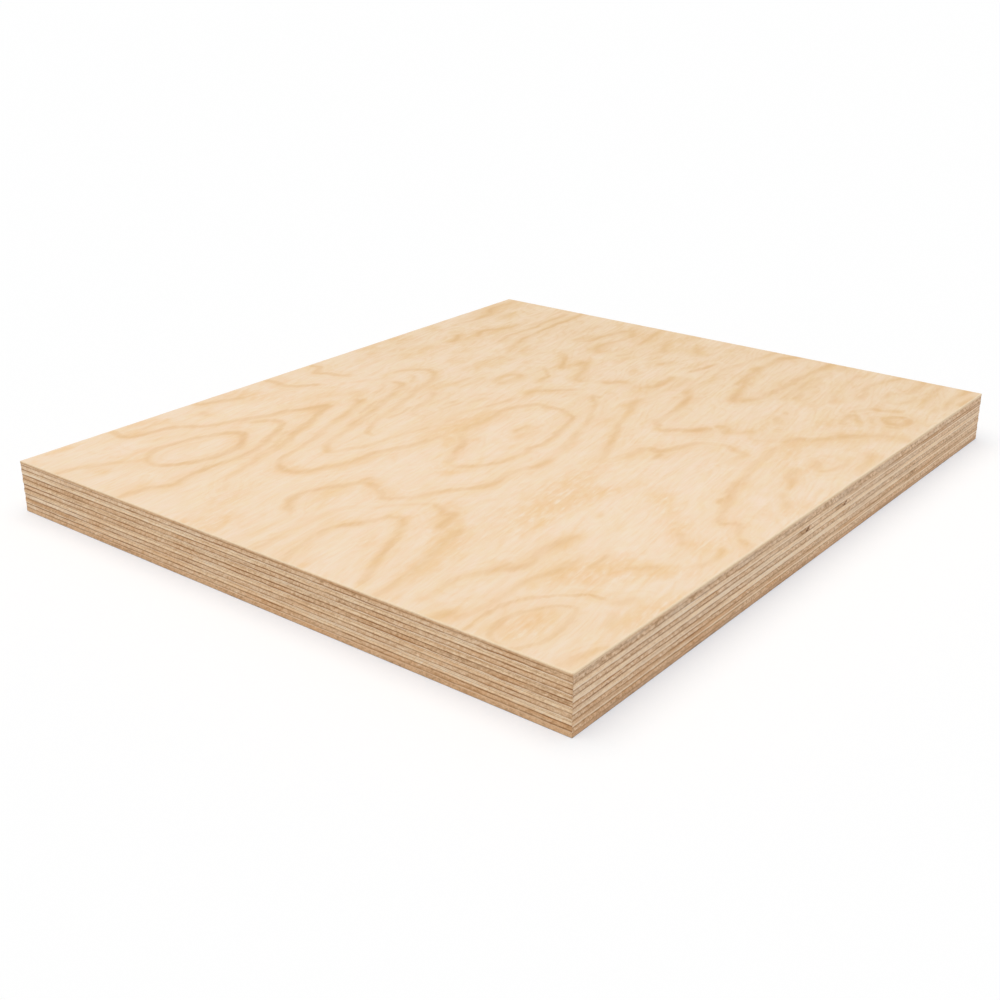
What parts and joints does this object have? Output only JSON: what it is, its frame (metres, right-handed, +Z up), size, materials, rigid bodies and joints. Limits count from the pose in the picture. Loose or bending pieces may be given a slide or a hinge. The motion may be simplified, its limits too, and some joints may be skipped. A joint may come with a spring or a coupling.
{
  "type": "plywood sheet",
  "caption": "Flat rectangular plywood panel of cross-laminated softwood veneers, with a sanded face veneer and sawn edges that show the plies.",
  "frame": {"origin": "centre of the underside, on the plane that the sheet lies on", "axes": "+X along the face grain, the longer side; +Y across the face grain; +Z up out of the sanded face"},
  "size_m": [0.35, 0.3, 0.024],
  "materials": {
    "face_veneer": "sanded, bare softwood",
    "crossband": "sawn edge, bare softwood",
    "core_veneer": "sawn edge, bare softwood",
    "back_veneer": "touch-sanded, bare softwood"
  },
  "bodies": {
    "root": {"face_veneer": "face_veneer", "crossband_02": "crossband", "core_veneer_03": "core_veneer", "crossband_04": "crossband", "core_veneer_05": "core_veneer", "crossband_06": "crossband", "core_veneer_07": "core_veneer", "crossband_08": "crossband", "core_veneer_09": "core_veneer", "crossband_10": "crossband", "back_veneer": "back_veneer"}
  },
  "joints": []
}
